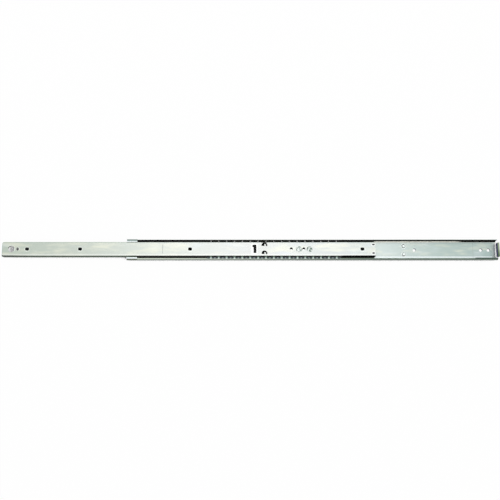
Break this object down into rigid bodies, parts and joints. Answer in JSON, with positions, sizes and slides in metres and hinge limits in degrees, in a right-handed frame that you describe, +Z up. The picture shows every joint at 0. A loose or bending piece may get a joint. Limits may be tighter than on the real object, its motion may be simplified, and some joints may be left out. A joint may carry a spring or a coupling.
{
  "type": "drawer slide",
  "caption": "Side-mounted ball-bearing drawer slide, drawn partly out: two steel channels on a caged ball race, with a release lever, an open stop and a rubber-capped rear tab.",
  "frame": {"origin": "centre of the front cabinet screw hole, on the face that lies against the cabinet side", "axes": "+X towards the back of the cabinet, +Z up, -Y from the cabinet side towards the drawer"},
  "size_m": [0.8171, 0.0128, 0.035],
  "materials": {
    "cabinet_zinc": "bright zinc plate with a faint blue-green tint",
    "drawer_zinc": "bright zinc plate with a faint yellow-green tint",
    "cage_steel": "plain pressed steel, lightly greased",
    "lever_steel": "zinc plate",
    "spring_steel": "spring steel",
    "rivet_steel": "spun rivet head",
    "ball_steel": "polished",
    "black_plastic": "fine matt",
    "black_rubber": "matt"
  },
  "bodies": {
    "cabinet": {"cabinet_member": "cabinet_zinc", "rear_bumper": "black_rubber"},
    "drawer": {"drawer_member": "drawer_zinc", "pivot_rivet": "rivet_steel", "spring_rivet": "rivet_steel", "lever_spring": "spring_steel"},
    "cage": {"ball_cage": "cage_steel"},
    "lever": {"release_lever": "lever_steel", "lever_grip": "black_plastic"},
    "ball_upper_01": {"ball_upper_01": "ball_steel"},
    "ball_upper_02": {"ball_upper_02": "ball_steel"},
    "ball_upper_03": {"ball_upper_03": "ball_steel"},
    "ball_upper_04": {"ball_upper_04": "ball_steel"},
    "ball_upper_05": {"ball_upper_05": "ball_steel"},
    "ball_upper_06": {"ball_upper_06": "ball_steel"},
    "ball_upper_07": {"ball_upper_07": "ball_steel"},
    "ball_upper_08": {"ball_upper_08": "ball_steel"},
    "ball_upper_09": {"ball_upper_09": "ball_steel"},
    "ball_upper_10": {"ball_upper_10": "ball_steel"},
    "ball_upper_11": {"ball_upper_11": "ball_steel"},
    "ball_upper_12": {"ball_upper_12": "ball_steel"},
    "ball_upper_13": {"ball_upper_13": "ball_steel"},
    "ball_upper_14": {"ball_upper_14": "ball_steel"},
    "ball_upper_15": {"ball_upper_15": "ball_steel"},
    "ball_upper_16": {"ball_upper_16": "ball_steel"},
    "ball_upper_17": {"ball_upper_17": "ball_steel"},
    "ball_lower_01": {"ball_lower_01": "ball_steel"},
    "ball_lower_02": {"ball_lower_02": "ball_steel"},
    "ball_lower_03": {"ball_lower_03": "ball_steel"},
    "ball_lower_04": {"ball_lower_04": "ball_steel"},
    "ball_lower_05": {"ball_lower_05": "ball_steel"},
    "ball_lower_06": {"ball_lower_06": "ball_steel"},
    "ball_lower_07": {"ball_lower_07": "ball_steel"},
    "ball_lower_08": {"ball_lower_08": "ball_steel"},
    "ball_lower_09": {"ball_lower_09": "ball_steel"},
    "ball_lower_10": {"ball_lower_10": "ball_steel"},
    "ball_lower_11": {"ball_lower_11": "ball_steel"},
    "ball_lower_12": {"ball_lower_12": "ball_steel"},
    "ball_lower_13": {"ball_lower_13": "ball_steel"},
    "ball_lower_14": {"ball_lower_14": "ball_steel"},
    "ball_lower_15": {"ball_lower_15": "ball_steel"},
    "ball_lower_16": {"ball_lower_16": "ball_steel"},
    "ball_lower_17": {"ball_lower_17": "ball_steel"}
  },
  "joints": [
    {"name": "drawer_slide", "type": "slide", "parent": "cabinet", "child": "drawer", "axis": [-1, 0, 0], "range_m": [-0.2007, 0.1863]},
    {"name": "cage_slide", "type": "slide", "parent": "cabinet", "child": "cage", "axis": [-1, 0, 0], "range_m": [-0.10055, 0.09335]},
    {"name": "lever_press", "type": "hinge", "parent": "drawer", "child": "lever", "pos_m": [0.2464, -0.0106, 0], "axis": [0, -1, 0], "range_deg": [0, 2.35], "stiffness_Nm_per_rad": 0.3, "springref_deg": -2.86},
    {"name": "ball_upper_01_roll", "type": "hinge", "parent": "cage", "child": "ball_upper_01", "pos_m": [0.10175, -0.00635, 0.01384], "axis": [0, 1, 0], "range_deg": [-2430, 2260]},
    {"name": "ball_upper_02_roll", "type": "hinge", "parent": "cage", "child": "ball_upper_02", "pos_m": [0.11468, -0.00635, 0.01384], "axis": [0, 1, 0], "range_deg": [-2430, 2260]},
    {"name": "ball_upper_03_roll", "type": "hinge", "parent": "cage", "child": "ball_upper_03", "pos_m": [0.12761, -0.00635, 0.01384], "axis": [0, 1, 0], "range_deg": [-2430, 2260]},
    {"name": "ball_upper_04_roll", "type": "hinge", "parent": "cage", "child": "ball_upper_04", "pos_m": [0.14054, -0.00635, 0.01384], "axis": [0, 1, 0], "range_deg": [-2430, 2260]},
    {"name": "ball_upper_05_roll", "type": "hinge", "parent": "cage", "child": "ball_upper_05", "pos_m": [0.15347, -0.00635, 0.01384], "axis": [0, 1, 0], "range_deg": [-2430, 2260]},
    {"name": "ball_upper_06_roll", "type": "hinge", "parent": "cage", "child": "ball_upper_06", "pos_m": [0.1664, -0.00635, 0.01384], "axis": [0, 1, 0], "range_deg": [-2430, 2260]},
    {"name": "ball_upper_07_roll", "type": "hinge", "parent": "cage", "child": "ball_upper_07", "pos_m": [0.17933, -0.00635, 0.01384], "axis": [0, 1, 0], "range_deg": [-2430, 2260]},
    {"name": "ball_upper_08_roll", "type": "hinge", "parent": "cage", "child": "ball_upper_08", "pos_m": [0.19226, -0.00635, 0.01384], "axis": [0, 1, 0], "range_deg": [-2430, 2260]},
    {"name": "ball_upper_09_roll", "type": "hinge", "parent": "cage", "child": "ball_upper_09", "pos_m": [0.20519, -0.00635, 0.01384], "axis": [0, 1, 0], "range_deg": [-2430, 2260]},
    {"name": "ball_upper_10_roll", "type": "hinge", "parent": "cage", "child": "ball_upper_10", "pos_m": [0.21812, -0.00635, 0.01384], "axis": [0, 1, 0], "range_deg": [-2430, 2260]},
    {"name": "ball_upper_11_roll", "type": "hinge", "parent": "cage", "child": "ball_upper_11", "pos_m": [0.23105, -0.00635, 0.01384], "axis": [0, 1, 0], "range_deg": [-2430, 2260]},
    {"name": "ball_upper_12_roll", "type": "hinge", "parent": "cage", "child": "ball_upper_12", "pos_m": [0.24398, -0.00635, 0.01384], "axis": [0, 1, 0], "range_deg": [-2430, 2260]},
    {"name": "ball_upper_13_roll", "type": "hinge", "parent": "cage", "child": "ball_upper_13", "pos_m": [0.25691, -0.00635, 0.01384], "axis": [0, 1, 0], "range_deg": [-2430, 2260]},
    {"name": "ball_upper_14_roll", "type": "hinge", "parent": "cage", "child": "ball_upper_14", "pos_m": [0.26984, -0.00635, 0.01384], "axis": [0, 1, 0], "range_deg": [-2430, 2260]},
    {"name": "ball_upper_15_roll", "type": "hinge", "parent": "cage", "child": "ball_upper_15", "pos_m": [0.28277, -0.00635, 0.01384], "axis": [0, 1, 0], "range_deg": [-2430, 2260]},
    {"name": "ball_upper_16_roll", "type": "hinge", "parent": "cage", "child": "ball_upper_16", "pos_m": [0.2957, -0.00635, 0.01384], "axis": [0, 1, 0], "range_deg": [-2430, 2260]},
    {"name": "ball_upper_17_roll", "type": "hinge", "parent": "cage", "child": "ball_upper_17", "pos_m": [0.30863, -0.00635, 0.01384], "axis": [0, 1, 0], "range_deg": [-2430, 2260]},
    {"name": "ball_lower_01_roll", "type": "hinge", "parent": "cage", "child": "ball_lower_01", "pos_m": [0.10175, -0.00635, -0.01384], "axis": [0, 1, 0], "range_deg": [-2260, 2430]},
    {"name": "ball_lower_02_roll", "type": "hinge", "parent": "cage", "child": "ball_lower_02", "pos_m": [0.11468, -0.00635, -0.01384], "axis": [0, 1, 0], "range_deg": [-2260, 2430]},
    {"name": "ball_lower_03_roll", "type": "hinge", "parent": "cage", "child": "ball_lower_03", "pos_m": [0.12761, -0.00635, -0.01384], "axis": [0, 1, 0], "range_deg": [-2260, 2430]},
    {"name": "ball_lower_04_roll", "type": "hinge", "parent": "cage", "child": "ball_lower_04", "pos_m": [0.14054, -0.00635, -0.01384], "axis": [0, 1, 0], "range_deg": [-2260, 2430]},
    {"name": "ball_lower_05_roll", "type": "hinge", "parent": "cage", "child": "ball_lower_05", "pos_m": [0.15347, -0.00635, -0.01384], "axis": [0, 1, 0], "range_deg": [-2260, 2430]},
    {"name": "ball_lower_06_roll", "type": "hinge", "parent": "cage", "child": "ball_lower_06", "pos_m": [0.1664, -0.00635, -0.01384], "axis": [0, 1, 0], "range_deg": [-2260, 2430]},
    {"name": "ball_lower_07_roll", "type": "hinge", "parent": "cage", "child": "ball_lower_07", "pos_m": [0.17933, -0.00635, -0.01384], "axis": [0, 1, 0], "range_deg": [-2260, 2430]},
    {"name": "ball_lower_08_roll", "type": "hinge", "parent": "cage", "child": "ball_lower_08", "pos_m": [0.19226, -0.00635, -0.01384], "axis": [0, 1, 0], "range_deg": [-2260, 2430]},
    {"name": "ball_lower_09_roll", "type": "hinge", "parent": "cage", "child": "ball_lower_09", "pos_m": [0.20519, -0.00635, -0.01384], "axis": [0, 1, 0], "range_deg": [-2260, 2430]},
    {"name": "ball_lower_10_roll", "type": "hinge", "parent": "cage", "child": "ball_lower_10", "pos_m": [0.21812, -0.00635, -0.01384], "axis": [0, 1, 0], "range_deg": [-2260, 2430]},
    {"name": "ball_lower_11_roll", "type": "hinge", "parent": "cage", "child": "ball_lower_11", "pos_m": [0.23105, -0.00635, -0.01384], "axis": [0, 1, 0], "range_deg": [-2260, 2430]},
    {"name": "ball_lower_12_roll", "type": "hinge", "parent": "cage", "child": "ball_lower_12", "pos_m": [0.24398, -0.00635, -0.01384], "axis": [0, 1, 0], "range_deg": [-2260, 2430]},
    {"name": "ball_lower_13_roll", "type": "hinge", "parent": "cage", "child": "ball_lower_13", "pos_m": [0.25691, -0.00635, -0.01384], "axis": [0, 1, 0], "range_deg": [-2260, 2430]},
    {"name": "ball_lower_14_roll", "type": "hinge", "parent": "cage", "child": "ball_lower_14", "pos_m": [0.26984, -0.00635, -0.01384], "axis": [0, 1, 0], "range_deg": [-2260, 2430]},
    {"name": "ball_lower_15_roll", "type": "hinge", "parent": "cage", "child": "ball_lower_15", "pos_m": [0.28277, -0.00635, -0.01384], "axis": [0, 1, 0], "range_deg": [-2260, 2430]},
    {"name": "ball_lower_16_roll", "type": "hinge", "parent": "cage", "child": "ball_lower_16", "pos_m": [0.2957, -0.00635, -0.01384], "axis": [0, 1, 0], "range_deg": [-2260, 2430]},
    {"name": "ball_lower_17_roll", "type": "hinge", "parent": "cage", "child": "ball_lower_17", "pos_m": [0.30863, -0.00635, -0.01384], "axis": [0, 1, 0], "range_deg": [-2260, 2430]}
  ],
  "couplings": [
    {"joint": "cage_slide", "follows": "drawer_slide", "ratio": 0.5},
    {"joint": "ball_upper_01_roll", "follows": "drawer_slide", "rad_per_m": 210.08},
    {"joint": "ball_upper_02_roll", "follows": "drawer_slide", "rad_per_m": 210.08},
    {"joint": "ball_upper_03_roll", "follows": "drawer_slide", "rad_per_m": 210.08},
    {"joint": "ball_upper_04_roll", "follows": "drawer_slide", "rad_per_m": 210.08},
    {"joint": "ball_upper_05_roll", "follows": "drawer_slide", "rad_per_m": 210.08},
    {"joint": "ball_upper_06_roll", "follows": "drawer_slide", "rad_per_m": 210.08},
    {"joint": "ball_upper_07_roll", "follows": "drawer_slide", "rad_per_m": 210.08},
    {"joint": "ball_upper_08_roll", "follows": "drawer_slide", "rad_per_m": 210.08},
    {"joint": "ball_upper_09_roll", "follows": "drawer_slide", "rad_per_m": 210.08},
    {"joint": "ball_upper_10_roll", "follows": "drawer_slide", "rad_per_m": 210.08},
    {"joint": "ball_upper_11_roll", "follows": "drawer_slide", "rad_per_m": 210.08},
    {"joint": "ball_upper_12_roll", "follows": "drawer_slide", "rad_per_m": 210.08},
    {"joint": "ball_upper_13_roll", "follows": "drawer_slide", "rad_per_m": 210.08},
    {"joint": "ball_upper_14_roll", "follows": "drawer_slide", "rad_per_m": 210.08},
    {"joint": "ball_upper_15_roll", "follows": "drawer_slide", "rad_per_m": 210.08},
    {"joint": "ball_upper_16_roll", "follows": "drawer_slide", "rad_per_m": 210.08},
    {"joint": "ball_upper_17_roll", "follows": "drawer_slide", "rad_per_m": 210.08},
    {"joint": "ball_lower_01_roll", "follows": "drawer_slide", "rad_per_m": -210.08},
    {"joint": "ball_lower_02_roll", "follows": "drawer_slide", "rad_per_m": -210.08},
    {"joint": "ball_lower_03_roll", "follows": "drawer_slide", "rad_per_m": -210.08},
    {"joint": "ball_lower_04_roll", "follows": "drawer_slide", "rad_per_m": -210.08},
    {"joint": "ball_lower_05_roll", "follows": "drawer_slide", "rad_per_m": -210.08},
    {"joint": "ball_lower_06_roll", "follows": "drawer_slide", "rad_per_m": -210.08},
    {"joint": "ball_lower_07_roll", "follows": "drawer_slide", "rad_per_m": -210.08},
    {"joint": "ball_lower_08_roll", "follows": "drawer_slide", "rad_per_m": -210.08},
    {"joint": "ball_lower_09_roll", "follows": "drawer_slide", "rad_per_m": -210.08},
    {"joint": "ball_lower_10_roll", "follows": "drawer_slide", "rad_per_m": -210.08},
    {"joint": "ball_lower_11_roll", "follows": "drawer_slide", "rad_per_m": -210.08},
    {"joint": "ball_lower_12_roll", "follows": "drawer_slide", "rad_per_m": -210.08},
    {"joint": "ball_lower_13_roll", "follows": "drawer_slide", "rad_per_m": -210.08},
    {"joint": "ball_lower_14_roll", "follows": "drawer_slide", "rad_per_m": -210.08},
    {"joint": "ball_lower_15_roll", "follows": "drawer_slide", "rad_per_m": -210.08},
    {"joint": "ball_lower_16_roll", "follows": "drawer_slide", "rad_per_m": -210.08},
    {"joint": "ball_lower_17_roll", "follows": "drawer_slide", "rad_per_m": -210.08}
  ]
}
